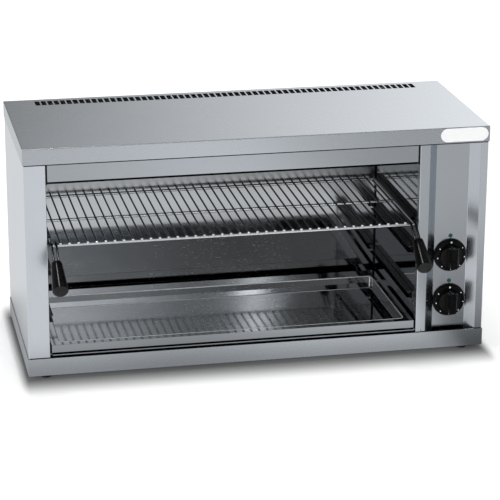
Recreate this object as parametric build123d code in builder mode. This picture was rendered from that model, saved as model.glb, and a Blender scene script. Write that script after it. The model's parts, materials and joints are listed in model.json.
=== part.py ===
"""Countertop salamander grill (cheese melter) with a wire rack, a drip tray and two rotary controls.

All sizes are in millimetres. +X is the right-hand side seen from the front, +Y points to the back
and +Z up. The origin lies on the table, in the middle of the whole outline.
"""

from build123d import *
import os
from math import cos, radians, sin

# Casing
CASE_WIDTH = 800.0
CASE_DEPTH = 320.0
CASE_HEIGHT = 400.0
FOOT_HEIGHT = 8.0
SHEET = 1.0
FIT = 0.2  # play between sheets that lap one another
BEND_RADIUS = 1.6  # outside radius of a fold in the casing sheet
COVER_RIM = 27.5
BASE_RIM = 31.0
RIM_SEAM = 0.6  # open seam where two rims meet at a corner
FLANGE = 14.0  # hidden flange along a sheet's edge

# Front, from left to right
LEFT_PILLAR = 38.0
INNER_PILLAR = 17.5
RECESS_WIDTH = 90.5
OUTER_STRIP = 14.0
PILLAR_RETURN = 12.0
RECESS_DEPTH = 15.5
RECESS_SLOPE = 16.0  # width of each slanted side of the recess
INTAKE_TOP = 34.5  # air intake under the control face, above the case's lower edge

# Exhaust slots in the cover
VENT_PITCH = 11.22
VENT_WIDTH = 8.5
VENT_LENGTH = 27.5
VENT_REAR_MARGIN = 14.5
VENT_SIDE_MARGIN = 51.0

# Cavity
LINER_SHEET = 0.8
REAR_LINER_DEPTH = 294.0
CEILING_DROP = 34.0  # below the cover's top
FLOOR_HEIGHT = 36.3
FLOOR_FRONT = 8.0
HOOD_HEIGHT = 58.5
HOOD_SETBACK = 3.0
HOOD_SIDE_GAP = 3.0
HOOD_BEVEL = 5.0
HOOD_RETURN = 11.0

# Rack rails
RAIL_HEIGHTS = {"upper": 225.7, "middle": 170.2, "lower": 86.6}
RAIL_SECTION = 12.0
RAIL_FLANGE = 10.5
RAIL_FRONT = 26.0
RAIL_REAR = 288.0

# Wire rack and its handles
RACK_CLEARANCE = 2.5
RACK_FRONT = 5.5
RACK_REAR = 282.0
FRAME_ROD = 5.0
RACK_CORNER = 6.0
WIRE = 3.0
WIRE_PITCH = 15.27
WIRE_MARGIN = 12.5
WIRE_OVERHANG = 9.0
WELD_SINK = 0.4
RUNNING_GAP = 0.3
ROD_SIDES = 12  # flats that stand for a round rod
FLAT_TURN = 180 / ROD_SIDES  # sets a flat on top
WIRE_SIDES = 8
HANDLE_WIRE = 4.0
HANDLE_SPACING = 8.0
HANDLE_INSET = 10.5
HANDLE_BEND = 7.0
HANDLE_BEND_REACH = 2.27  # how far in front of the case the handle wire turns down
HANDLE_SLOPE = 38.27  # straight wire between that turn and the grip
GRIP_TILT = 34.0
GRIP_LENGTH = 66.0
GRIP_ROOT_DIAMETER = 18.0
GRIP_END_DIAMETER = 27.0
GRIP_DOME = 8.0
GRIP_ROOT_ROUND = 2.5
GRIP_SOCKET = 24.0
GRIP_SOCKET_PLAY = 0.15

# Drip tray
TRAY_SIDE_GAP = 3.0
TRAY_FRONT = 3.0
TRAY_REAR = 276.0
TRAY_TOP = 53.3
TRAY_BOTTOM = 40.0
TRAY_SHEET = 0.8
TRAY_FLANGE = 14.0
TRAY_REAR_FLANGE = 31.0
TRAY_CORNER = 6.0
TRAY_RUNNER_WIDTH = 16.0
TRAY_RUNNER_INSET = 60.0

# Rotary controls
KNOB_HEIGHT = 83.7  # lower knob's axis above the case's lower edge
KNOB_PITCH = 82.6
KNOB_GAP = 0.8
SKIRT_DIAMETER = 59.0
SKIRT_FRONT_DIAMETER = 53.0
SKIRT_RIM = 2.0
SKIRT_THICKNESS = 7.0
KNOB_BODY_DIAMETER = 41.0
KNOB_BODY_HEIGHT = 21.0
KNOB_BODY_TAPER = 2.0
KNOB_GRIP_WIDTH = 12.0
KNOB_SCOOP_RADIUS = 18.0  # hollow beside the knob's grip bar
KNOB_WALL = 3.5
KNOB_HUB_DIAMETER = 14.0
SHAFT_DIAMETER = 6.0
SHAFT_PLAY = 0.1
SHAFT_REACH = 20.0  # how far the shaft stands out in front of the control face
SHAFT_DEPTH = 12.0  # how far it goes into the regulator
REGULATOR_WIDTH = 36.0
REGULATOR_HEIGHT = 46.0
REGULATOR_DEPTH = 34.0
REGULATOR_COLLAR = 10.0
REGULATOR_SCREW_SPACING = 28.0
REGULATOR_CORNER = 4.0
BLADE_WIDTH = 6.3
BLADE_THICKNESS = 0.8
BLADE_LENGTH = 8.0

# Heating elements
ELEMENT_DIAMETER = 8.5
ELEMENT_DROP = 14.0  # axis below the ceiling liner
ELEMENT_SPACING = 50.0
ELEMENT_FRONT_LEG = 65.0
ELEMENT_PITCH = 105.0
ELEMENT_LEFT_GAP = 45.0
ELEMENT_TAIL = 26.0
TERMINAL_DIAMETER = 4.0
TERMINAL_LENGTH = 14.0
HANGER_SHEET = 1.5
HANGER_LEG = 15.0
HANGER_INSET = 130.0
BUSHING_DIAMETER = 18.0
BUSHING_NECK = 12.5
BUSHING_FLANGE = 4.0
ELEMENT_PLAY = 0.25

# Rear panel, gland, screws and feet
GLAND_STANDOUT = 16.0
GLAND_INSET = 62.0
GLAND_HEIGHT = 70.0
GLAND_THREAD = 16.0
GLAND_HEX = 22.0
GLAND_HEX_LENGTH = 6.0
GLAND_BORE = 9.0
GLAND_TAPER = 14.0  # degrees
LOCKNUT_THICKNESS = 5.0
SCREW_DIAMETER = 4.0
SCREW_HEAD = 7.5
SCREW_HEAD_HEIGHT = 2.4
SCREW_LENGTH = 8.0
SCREW_PLAY = 0.15
REAR_SCREW_ROWS = 4
FOOT_DIAMETER = 20.0
FOOT_WAIST = 17.0
FOOT_INSET_X = 32.0
FOOT_INSET_Y = 20.0
FOOT_SCREW_RECESS = 4.0
TERMINAL_BLOCK_WIDTH = 58.0
TERMINAL_BLOCK_DEPTH = 20.0
TERMINAL_BLOCK_HEIGHT = 18.0
TERMINAL_BLOCK_POLES = 5
TERMINAL_BLOCK_WALL = 2.0
TERMINAL_BLOCK_INSET = 42.0

# Places worked out from the sizes above
DOME_RADIUS = ((GRIP_END_DIAMETER / 2) ** 2 + GRIP_DOME**2) / (2 * GRIP_DOME)
GRIP_CENTRE_DISTANCE = HANDLE_SLOPE + GRIP_LENGTH - DOME_RADIUS
GRIP_REACH = HANDLE_BEND_REACH + GRIP_CENTRE_DISTANCE * cos(radians(GRIP_TILT)) + DOME_RADIUS
FRONT_Y = (GRIP_REACH - CASE_DEPTH - GLAND_STANDOUT) / 2
REAR_Y = FRONT_Y + CASE_DEPTH
HALF_WIDTH = CASE_WIDTH / 2
LOW_Z = FOOT_HEIGHT
TOP_Z = LOW_Z + CASE_HEIGHT
LAP = SHEET + FIT
WALL_X = HALF_WIDTH - LAP
PILLAR_Y = FRONT_Y + LAP
PANEL_Y = REAR_Y - LAP
SIDE_REAR_Y = PANEL_Y - LAP
WALL_LOW_Z = LOW_Z + LAP
WALL_HEIGHT = CASE_HEIGHT - 2 * LAP
OPENING_LEFT = -HALF_WIDTH + LEFT_PILLAR
RECESS_RIGHT = HALF_WIDTH - OUTER_STRIP
RECESS_LEFT = RECESS_RIGHT - RECESS_WIDTH
OPENING_RIGHT = RECESS_LEFT - INNER_PILLAR
OPENING_CENTRE = (OPENING_LEFT + OPENING_RIGHT) / 2
CAVITY_LEFT = OPENING_LEFT - LAP
CAVITY_RIGHT = OPENING_RIGHT + LAP
CAVITY_WIDTH = CAVITY_RIGHT - CAVITY_LEFT
LINER_FRONT_Y = PILLAR_Y + LAP
REAR_LINER_Y = FRONT_Y + REAR_LINER_DEPTH
CEILING_Z = TOP_Z - CEILING_DROP
FLOOR_Z = LOW_Z + FLOOR_HEIGHT
FACE_Y = FRONT_Y + RECESS_DEPTH
KNOB_X = (RECESS_LEFT + RECESS_RIGHT) / 2
GLAND_X = HALF_WIDTH - GLAND_INSET
KNOB_AXES = {"lower": LOW_Z + KNOB_HEIGHT, "upper": LOW_Z + KNOB_HEIGHT + KNOB_PITCH}
SIDES = {"left": -1, "right": 1}

os.makedirs("parts", exist_ok=True)


def save(piece, name):
    """Label a finished piece and write it to its own file."""
    piece.part.label = name
    export_step(piece.part, f"parts/{name}.step")


def folded_section(plane, points, side, thickness=SHEET, radius=BEND_RADIUS):
    """Section of a sheet whose outside follows the points and whose thickness lies to one side."""
    with BuildSketch(plane) as section:
        with BuildLine():
            FilletPolyline(*points, radius=radius)
            offset(amount=thickness, side=side)
        make_face()
    return section.sketch


def mirrored(points, sign):
    """The points as they are on the right-hand side, or mirrored for the left-hand side."""
    return [(sign * x, y) for x, y in points]


# ---------------------------------------------------------------- casing

with BuildPart() as top_cover:
    with BuildSketch(Plane.XY.offset(TOP_Z - COVER_RIM)):
        with Locations((0, (FRONT_Y + REAR_Y) / 2)):
            Rectangle(CASE_WIDTH, CASE_DEPTH)
    extrude(amount=COVER_RIM)
    fillet(top_cover.faces().sort_by(Axis.Z)[-1].edges(), BEND_RADIUS)
    offset(amount=-SHEET, openings=top_cover.faces().sort_by(Axis.Z)[0])
    vent_count = int((CASE_WIDTH - 2 * VENT_SIDE_MARGIN) / VENT_PITCH)
    with BuildSketch(Plane.XY.offset(TOP_Z)):
        with Locations((0, REAR_Y - VENT_REAR_MARGIN - VENT_LENGTH / 2)):
            with GridLocations(VENT_PITCH, 0, vent_count, 1):
                Rectangle(VENT_WIDTH, VENT_LENGTH)
    extrude(amount=-2 * SHEET, mode=Mode.SUBTRACT)
    with BuildSketch(Plane.XY.offset(TOP_Z - COVER_RIM)):
        with Locations((0, (FRONT_Y + REAR_Y) / 2)):
            with GridLocations(CASE_WIDTH, CASE_DEPTH - 2 * SHEET - RIM_SEAM, 2, 2):
                Rectangle(2 * BEND_RADIUS, RIM_SEAM)
    extrude(amount=COVER_RIM - BEND_RADIUS, mode=Mode.SUBTRACT)
save(top_cover, "top_cover")

foot_places = [
    (x_sign * (HALF_WIDTH - FOOT_INSET_X), y)
    for x_sign in (-1, 1)
    for y in (FRONT_Y + FOOT_INSET_Y, REAR_Y - FOOT_INSET_Y)
]

with BuildPart() as base_pan:
    with BuildSketch(Plane.XY.offset(LOW_Z)):
        with Locations((0, (FRONT_Y + REAR_Y) / 2)):
            Rectangle(CASE_WIDTH, CASE_DEPTH)
    extrude(amount=BASE_RIM)
    fillet(base_pan.faces().sort_by(Axis.Z)[0].edges(), BEND_RADIUS)
    offset(amount=-SHEET, openings=base_pan.faces().sort_by(Axis.Z)[-1])
    with BuildSketch(Plane.XY.offset(LOW_Z)):
        with Locations(*foot_places):
            Circle(SCREW_DIAMETER / 2 + SCREW_PLAY)
    extrude(amount=SHEET, mode=Mode.SUBTRACT)
    with BuildSketch(Plane.XY.offset(LOW_Z + BEND_RADIUS)):
        with Locations((0, (FRONT_Y + REAR_Y) / 2)):
            with GridLocations(CASE_WIDTH, CASE_DEPTH - 2 * SHEET - RIM_SEAM, 2, 2):
                Rectangle(2 * BEND_RADIUS, RIM_SEAM)
    extrude(amount=BASE_RIM, mode=Mode.SUBTRACT)
save(base_pan, "base_pan")

rear_screw_heights = [
    LOW_Z + BASE_RIM + (CASE_HEIGHT - BASE_RIM - COVER_RIM) * (row + 0.5) / REAR_SCREW_ROWS
    for row in range(REAR_SCREW_ROWS)
]
rear_screw_x = WALL_X - SHEET - FLANGE / 2
rear_screw_places = [(x, z) for x in (-rear_screw_x, rear_screw_x) for z in rear_screw_heights]
rear_plane = Plane(origin=(0, PANEL_Y, 0), x_dir=(1, 0, 0), z_dir=(0, -1, 0))


def drill_rear_screws(depth):
    """Drill the holes of the rear screws through the part being built, from the rear plane inwards."""
    with BuildSketch(rear_plane) as holes:
        with Locations(*rear_screw_places):
            Circle(SCREW_DIAMETER / 2 + SCREW_PLAY)
    extrude(holes.sketch, amount=depth, mode=Mode.SUBTRACT)


with BuildPart() as left_side:
    outline = [
        (-WALL_X + SHEET + FLANGE, SIDE_REAR_Y),
        (-WALL_X, SIDE_REAR_Y),
        (-WALL_X, PILLAR_Y),
        (OPENING_LEFT, PILLAR_Y),
        (OPENING_LEFT, PILLAR_Y + PILLAR_RETURN),
    ]
    extrude(folded_section(Plane.XY.offset(WALL_LOW_Z), outline, Side.LEFT), amount=WALL_HEIGHT)
    drill_rear_screws(2 * LAP)
save(left_side, "left_side")

with BuildPart() as right_side:
    outline = [
        (WALL_X - SHEET - FLANGE, SIDE_REAR_Y),
        (WALL_X, SIDE_REAR_Y),
        (WALL_X, PILLAR_Y),
        (RECESS_RIGHT, PILLAR_Y),
    ]
    extrude(folded_section(Plane.XY.offset(WALL_LOW_Z), outline, Side.RIGHT), amount=WALL_HEIGHT)
    drill_rear_screws(2 * LAP)
save(right_side, "right_side")

regulator_screw_places = [
    (KNOB_X + sign * REGULATOR_SCREW_SPACING / 2, z)
    for z in KNOB_AXES.values()
    for sign in (-1, 1)
]
face_plane = Plane(origin=(0, FACE_Y, 0), x_dir=(1, 0, 0), z_dir=(0, -1, 0))

with BuildPart() as control_panel:
    lap_y = PILLAR_Y + LAP
    lap_end = WALL_X - SHEET - BEND_RADIUS
    outline = [
        (OPENING_RIGHT, PILLAR_Y + PILLAR_RETURN),
        (OPENING_RIGHT, PILLAR_Y),
        (RECESS_LEFT, PILLAR_Y),
        (RECESS_LEFT + RECESS_SLOPE, FACE_Y),
        (RECESS_RIGHT - RECESS_SLOPE, FACE_Y),
        (RECESS_RIGHT, lap_y),
        (lap_end, lap_y),
    ]
    extrude(folded_section(Plane.XY.offset(WALL_LOW_Z), outline, Side.LEFT), amount=WALL_HEIGHT)
    face_width = RECESS_WIDTH - 2 * RECESS_SLOPE
    with BuildSketch(face_plane):
        with Locations((KNOB_X, LOW_Z)):
            Rectangle(face_width, INTAKE_TOP, align=(Align.CENTER, Align.MIN))
        with Locations(*[(KNOB_X, z) for z in KNOB_AXES.values()]):
            Circle(REGULATOR_COLLAR / 2 + FIT)
        with Locations(*regulator_screw_places):
            Circle(SCREW_DIAMETER / 2 + SCREW_PLAY)
    extrude(amount=-2 * SHEET, mode=Mode.SUBTRACT)
save(control_panel, "control_panel")

with BuildPart() as rear_panel:
    with BuildSketch(rear_plane):
        with Locations((0, WALL_LOW_Z)):
            Rectangle(2 * WALL_X, WALL_HEIGHT, align=(Align.CENTER, Align.MIN))
        with Locations((GLAND_X, LOW_Z + GLAND_HEIGHT)):
            Circle(GLAND_THREAD / 2 + FIT, mode=Mode.SUBTRACT)
    extrude(amount=SHEET)
    drill_rear_screws(SHEET)
save(rear_panel, "rear_panel")

with BuildPart() as rear_screws:
    with BuildSketch(rear_plane):
        with Locations(*rear_screw_places):
            RegularPolygon(SCREW_HEAD / 2, 6)
    extrude(amount=-SCREW_HEAD_HEIGHT)
    with BuildSketch(rear_plane):
        with Locations(*rear_screw_places):
            Circle(SCREW_DIAMETER / 2)
    extrude(amount=SCREW_LENGTH)
save(rear_screws, "rear_screws")

# ---------------------------------------------------------------- hood and cavity

with BuildPart() as hood_front:
    hood_y = FRONT_Y + HOOD_SETBACK
    hood_top_z = TOP_Z - LAP
    hood_edge_z = TOP_Z - HOOD_HEIGHT
    outline = [
        (hood_y + FLANGE, hood_top_z),
        (hood_y, hood_top_z),
        (hood_y, hood_edge_z),
        (hood_y + HOOD_BEVEL, hood_edge_z - HOOD_BEVEL),
        (hood_y + HOOD_BEVEL + HOOD_RETURN, hood_edge_z - HOOD_BEVEL),
    ]
    hood_left = OPENING_LEFT + HOOD_SIDE_GAP
    hood_width = OPENING_RIGHT - HOOD_SIDE_GAP - hood_left
    section = folded_section(Plane.YZ.offset(hood_left), outline, Side.LEFT)
    extrude(section, amount=hood_width)
save(hood_front, "hood_front")

ceiling_front_y = FRONT_Y + HOOD_SETBACK + SHEET + FIT

with BuildPart() as ceiling_liner:
    edge_left = OPENING_LEFT + FIT
    edge_right = OPENING_RIGHT - FIT
    outline = [
        (edge_left, CEILING_Z + FLANGE),
        (edge_left, CEILING_Z),
        (edge_right, CEILING_Z),
        (edge_right, CEILING_Z + FLANGE),
    ]
    plane = Plane(origin=(0, REAR_LINER_Y, 0), x_dir=(1, 0, 0), z_dir=(0, -1, 0))
    section = folded_section(plane, outline, Side.LEFT, LINER_SHEET)
    extrude(section, amount=REAR_LINER_Y - ceiling_front_y)
save(ceiling_liner, "ceiling_liner")

element_legs = [
    FRONT_Y + ELEMENT_FRONT_LEG + index * ELEMENT_PITCH + leg * ELEMENT_SPACING
    for index in range(2)
    for leg in range(2)
]
element_z = CEILING_Z - ELEMENT_DROP

for name, side in SIDES.items():
    wall_x = side * (CAVITY_RIGHT if side > 0 else CAVITY_LEFT)
    with BuildPart() as liner:
        outline = mirrored(
            [
                (wall_x, LINER_FRONT_Y),
                (wall_x, REAR_LINER_Y - FIT),
                (wall_x + FLANGE, REAR_LINER_Y - FIT),
            ],
            side,
        )
        turn = Side.RIGHT if side > 0 else Side.LEFT
        section = folded_section(Plane.XY.offset(WALL_LOW_Z), outline, turn, LINER_SHEET)
        extrude(section, amount=WALL_HEIGHT)
        if side > 0:
            with BuildSketch(Plane.YZ.offset(CAVITY_RIGHT)):
                with Locations(*[(y, element_z) for y in element_legs]):
                    Circle(BUSHING_NECK / 2 + FIT)
            extrude(amount=2 * LINER_SHEET, both=True, mode=Mode.SUBTRACT)
    save(liner, f"{name}_liner")

with BuildPart() as rear_liner:
    with BuildSketch(Plane.XZ.offset(-REAR_LINER_Y)):
        with Locations((OPENING_CENTRE, WALL_LOW_Z)):
            Rectangle(
                CAVITY_WIDTH + 2 * FLANGE,
                CEILING_Z + FLANGE - WALL_LOW_Z,
                align=(Align.CENTER, Align.MIN),
            )
    extrude(amount=-LINER_SHEET)
save(rear_liner, "rear_liner")

with BuildPart() as cavity_floor:
    outline = [
        (OPENING_LEFT + FIT, FLOOR_Z - FLANGE),
        (OPENING_LEFT + FIT, FLOOR_Z),
        (OPENING_RIGHT - FIT, FLOOR_Z),
        (OPENING_RIGHT - FIT, FLOOR_Z - FLANGE),
    ]
    floor_rear_y = REAR_LINER_Y - FIT
    plane = Plane(origin=(0, floor_rear_y, 0), x_dir=(1, 0, 0), z_dir=(0, -1, 0))
    section = folded_section(plane, outline, Side.RIGHT, LINER_SHEET)
    extrude(section, amount=floor_rear_y - FRONT_Y - FLOOR_FRONT)
save(cavity_floor, "cavity_floor")

# ---------------------------------------------------------------- rack rails and tray runners

for name, side in SIDES.items():
    wall_x = CAVITY_RIGHT if side > 0 else CAVITY_LEFT
    for level, height in RAIL_HEIGHTS.items():
        with BuildPart() as rail:
            rail_z = LOW_Z + height
            outline = [
                (wall_x - side * RAIL_FLANGE, rail_z),
                (wall_x, rail_z),
                (wall_x, rail_z + RAIL_SECTION),
                (wall_x - side * RAIL_FLANGE, rail_z + RAIL_SECTION),
            ]
            plane = Plane(origin=(0, FRONT_Y + RAIL_REAR, 0), x_dir=(1, 0, 0), z_dir=(0, -1, 0))
            turn = Side.LEFT if side > 0 else Side.RIGHT
            section = folded_section(plane, outline, turn)
            extrude(section, amount=RAIL_REAR - RAIL_FRONT)
        save(rail, f"{name}_rail_{level}")

tray_left = OPENING_LEFT + TRAY_SIDE_GAP
tray_right = OPENING_RIGHT - TRAY_SIDE_GAP

for name, side in SIDES.items():
    with BuildPart() as runner:
        edge = tray_right if side > 0 else tray_left
        runner_x = edge - side * TRAY_RUNNER_INSET
        runner_height = TRAY_BOTTOM - FLOOR_HEIGHT - RUNNING_GAP
        with BuildSketch(Plane.XY.offset(FLOOR_Z)):
            with Locations((runner_x, (PILLAR_Y + PILLAR_RETURN + REAR_LINER_Y) / 2)):
                SlotOverall(REAR_LINER_DEPTH - 2 * PILLAR_RETURN - FLANGE, TRAY_RUNNER_WIDTH, 90)
        extrude(amount=runner_height)
    save(runner, f"{name}_tray_runner")

# ---------------------------------------------------------------- heating elements

terminal_x = CAVITY_RIGHT + ELEMENT_TAIL
bend_x = OPENING_LEFT + ELEMENT_LEFT_GAP

for index, name in enumerate(("front", "rear")):
    legs = element_legs[2 * index : 2 * index + 2]
    with BuildPart() as element:
        with BuildLine() as path:
            FilletPolyline(
                (terminal_x, legs[0], element_z),
                (bend_x, legs[0], element_z),
                (bend_x, legs[1], element_z),
                (terminal_x, legs[1], element_z),
                radius=ELEMENT_SPACING / 2 - FIT,
            )
        with BuildSketch(Plane(origin=path.line @ 0, z_dir=path.line % 0)):
            RegularPolygon(ELEMENT_DIAMETER / 2, ROD_SIDES, major_radius=False)
        sweep()
        with BuildSketch(Plane.YZ.offset(terminal_x)):
            with Locations(*[(y, element_z) for y in legs]):
                Circle(TERMINAL_DIAMETER / 2)
        extrude(amount=TERMINAL_LENGTH)
    save(element, f"{name}_element")

for name, side in SIDES.items():
    with BuildPart() as hanger:
        hanger_x = OPENING_CENTRE + side * (CAVITY_WIDTH / 2 - HANGER_INSET)
        leg_low_z = element_z - HANGER_LEG / 2
        outline = [
            (hanger_x, leg_low_z),
            (hanger_x, CEILING_Z - FIT),
            (hanger_x + HANGER_LEG, CEILING_Z - FIT),
        ]
        hanger_front_y = element_legs[0] - HANGER_LEG
        hanger_rear_y = element_legs[-1] + HANGER_LEG
        plane = Plane(origin=(0, hanger_rear_y, 0), x_dir=(1, 0, 0), z_dir=(0, -1, 0))
        section = folded_section(plane, outline, Side.RIGHT, HANGER_SHEET)
        extrude(section, amount=hanger_rear_y - hanger_front_y)
        with BuildSketch(Plane.YZ.offset(hanger_x)):
            with Locations(*[(y, element_z) for y in element_legs]):
                Circle(ELEMENT_DIAMETER / 2 + ELEMENT_PLAY)
        extrude(amount=2 * HANGER_SHEET, both=True, mode=Mode.SUBTRACT)
    save(hanger, f"{name}_element_hanger")

with BuildPart() as element_bushings:
    liner_outer_x = CAVITY_RIGHT + LINER_SHEET
    with BuildSketch(Plane.YZ.offset(liner_outer_x + FIT)):
        with Locations(*[(y, element_z) for y in element_legs]):
            Circle(BUSHING_DIAMETER / 2)
            Circle(ELEMENT_DIAMETER / 2 + ELEMENT_PLAY, mode=Mode.SUBTRACT)
    extrude(amount=BUSHING_FLANGE)
    with BuildSketch(Plane.YZ.offset(liner_outer_x + FIT)):
        with Locations(*[(y, element_z) for y in element_legs]):
            Circle(BUSHING_NECK / 2)
            Circle(ELEMENT_DIAMETER / 2 + ELEMENT_PLAY, mode=Mode.SUBTRACT)
    extrude(amount=-LINER_SHEET - FIT - BUSHING_FLANGE / 2)
save(element_bushings, "element_bushings")

# ---------------------------------------------------------------- controls

for name, axis_z in KNOB_AXES.items():
    with BuildPart() as regulator:
        body_y = FACE_Y + SHEET + FIT
        with BuildSketch(Plane.XZ.offset(-body_y)):
            with Locations((KNOB_X, axis_z)):
                RectangleRounded(REGULATOR_WIDTH, REGULATOR_HEIGHT, REGULATOR_CORNER)
        extrude(amount=-REGULATOR_DEPTH)
        with BuildSketch(Plane.XZ.offset(-body_y)):
            with Locations((KNOB_X, axis_z)):
                Circle(REGULATOR_COLLAR / 2)
        extrude(amount=LAP + KNOB_GAP)
        with BuildSketch(Plane.XZ.offset(-FACE_Y)):
            with Locations((KNOB_X, axis_z)):
                Circle(SHAFT_DIAMETER / 2 + SHAFT_PLAY)
        extrude(amount=-SHAFT_DEPTH - KNOB_GAP, mode=Mode.SUBTRACT)
        with BuildSketch(Plane.XZ.offset(-FACE_Y)):
            with Locations((KNOB_X, axis_z)):
                Circle(SHAFT_DIAMETER / 2 + SHAFT_PLAY)
        extrude(amount=2 * SHEET, mode=Mode.SUBTRACT)
        with BuildSketch(Plane.XZ.offset(-body_y)):
            with Locations((KNOB_X, axis_z)):
                with GridLocations(REGULATOR_SCREW_SPACING, 0, 2, 1):
                    Circle(SCREW_DIAMETER / 2 + SCREW_PLAY)
        extrude(amount=-SCREW_LENGTH, mode=Mode.SUBTRACT)
        blade_y = body_y + REGULATOR_DEPTH
        with BuildSketch(Plane.XZ.offset(-blade_y)):
            with Locations((KNOB_X, axis_z)):
                with GridLocations(REGULATOR_WIDTH / 2, REGULATOR_HEIGHT / 2, 2, 2):
                    Rectangle(BLADE_THICKNESS, BLADE_WIDTH)
        extrude(amount=-BLADE_LENGTH)
    save(regulator, f"{name}_regulator")

with BuildPart() as regulator_screws:
    with BuildSketch(face_plane):
        with Locations(*regulator_screw_places):
            RegularPolygon(SCREW_HEAD / 2, 6)
    extrude(amount=SCREW_HEAD_HEIGHT)
    with BuildSketch(face_plane):
        with Locations(*regulator_screw_places):
            Circle(SCREW_DIAMETER / 2)
    extrude(amount=-SCREW_LENGTH)
save(regulator_screws, "regulator_screws")

for name, axis_z in KNOB_AXES.items():
    knob_back_y = FACE_Y - KNOB_GAP
    knob_axis = Axis((KNOB_X, 0, axis_z), (0, 1, 0))
    body_front_y = knob_back_y - SKIRT_THICKNESS - KNOB_BODY_HEIGHT
    with BuildPart() as knob:
        with BuildSketch(Plane(origin=(KNOB_X, 0, axis_z), x_dir=(1, 0, 0), z_dir=(0, 0, 1))):
            with BuildLine():
                Polyline(
                    (0, knob_back_y),
                    (SKIRT_DIAMETER / 2, knob_back_y),
                    (SKIRT_DIAMETER / 2, knob_back_y - SKIRT_RIM),
                    (SKIRT_FRONT_DIAMETER / 2, knob_back_y - SKIRT_THICKNESS),
                    (KNOB_BODY_DIAMETER / 2, knob_back_y - SKIRT_THICKNESS),
                    (KNOB_BODY_DIAMETER / 2 - KNOB_BODY_TAPER, body_front_y),
                    (0, body_front_y),
                    close=True,
                )
            make_face()
        revolve(axis=knob_axis)
        scoop_x = KNOB_GRIP_WIDTH / 2 + KNOB_SCOOP_RADIUS
        with BuildSketch(Plane.XY.offset(axis_z - KNOB_BODY_DIAMETER / 2)):
            with Locations((KNOB_X - scoop_x, body_front_y), (KNOB_X + scoop_x, body_front_y)):
                Circle(KNOB_SCOOP_RADIUS)
        extrude(amount=KNOB_BODY_DIAMETER, mode=Mode.SUBTRACT)
        with BuildSketch(Plane.XZ.offset(-knob_back_y)):
            with Locations((KNOB_X, axis_z)):
                Circle(SKIRT_FRONT_DIAMETER / 2 - KNOB_WALL)
                Circle(KNOB_HUB_DIAMETER / 2, mode=Mode.SUBTRACT)
        extrude(amount=SKIRT_THICKNESS - KNOB_WALL, mode=Mode.SUBTRACT)
        with BuildSketch(Plane.XZ.offset(-knob_back_y)):
            with Locations((KNOB_X, axis_z)):
                Circle(SHAFT_DIAMETER / 2 + FIT / 2)
        extrude(amount=SHAFT_REACH, mode=Mode.SUBTRACT)
    save(knob, f"{name}_knob")

    with BuildPart() as shaft:
        with BuildSketch(Plane.XZ.offset(-FACE_Y - SHAFT_DEPTH)):
            with Locations((KNOB_X, axis_z)):
                Circle(SHAFT_DIAMETER / 2)
        extrude(amount=SHAFT_DEPTH + SHAFT_REACH)
    save(shaft, f"{name}_shaft")

# ---------------------------------------------------------------- rear and base fittings

gland_z = LOW_Z + GLAND_HEIGHT
gland_centre = (GLAND_X, gland_z)

with BuildPart() as cable_gland:
    with BuildSketch(Plane.XZ.offset(-PANEL_Y)):
        with Locations(gland_centre):
            RegularPolygon(GLAND_HEX / 2, 6, major_radius=False)
    extrude(amount=-GLAND_HEX_LENGTH)
    dome_length = REAR_Y + GLAND_STANDOUT - PANEL_Y - GLAND_HEX_LENGTH
    with BuildSketch(Plane.XZ.offset(-PANEL_Y - GLAND_HEX_LENGTH)):
        with Locations(gland_centre):
            Circle(GLAND_HEX / 2)
    extrude(amount=-dome_length, taper=GLAND_TAPER)
    with BuildSketch(Plane.XZ.offset(-PANEL_Y)):
        with Locations(gland_centre):
            Circle(GLAND_THREAD / 2)
    extrude(amount=LOCKNUT_THICKNESS + 2 * LAP)
    with BuildSketch(Plane.XZ.offset(-REAR_Y - GLAND_STANDOUT)):
        with Locations(gland_centre):
            Circle(GLAND_BORE / 2)
    extrude(amount=LOCKNUT_THICKNESS + 3 * LAP + GLAND_STANDOUT, mode=Mode.SUBTRACT)
save(cable_gland, "cable_gland")

with BuildPart() as gland_locknut:
    with BuildSketch(Plane.XZ.offset(-PANEL_Y + LAP)):
        with Locations(gland_centre):
            RegularPolygon(GLAND_HEX / 2, 6, major_radius=False)
            Circle(GLAND_THREAD / 2 + FIT / 2, mode=Mode.SUBTRACT)
    extrude(amount=LOCKNUT_THICKNESS)
save(gland_locknut, "gland_locknut")

with BuildPart() as terminal_block:
    block_y = SIDE_REAR_Y - TERMINAL_BLOCK_INSET
    pole_pitch = TERMINAL_BLOCK_WIDTH / TERMINAL_BLOCK_POLES
    with BuildSketch(Plane.XY.offset(WALL_LOW_Z)):
        with Locations((GLAND_X, block_y)):
            Rectangle(TERMINAL_BLOCK_WIDTH, TERMINAL_BLOCK_DEPTH)
    extrude(amount=TERMINAL_BLOCK_HEIGHT)
    with BuildSketch(Plane.XY.offset(WALL_LOW_Z + TERMINAL_BLOCK_HEIGHT)):
        with Locations((GLAND_X, block_y)):
            with GridLocations(pole_pitch, 0, TERMINAL_BLOCK_POLES, 1):
                Rectangle(pole_pitch - TERMINAL_BLOCK_WALL, TERMINAL_BLOCK_DEPTH / 2)
    extrude(amount=-TERMINAL_BLOCK_HEIGHT / 3, mode=Mode.SUBTRACT)
save(terminal_block, "terminal_block")

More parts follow.
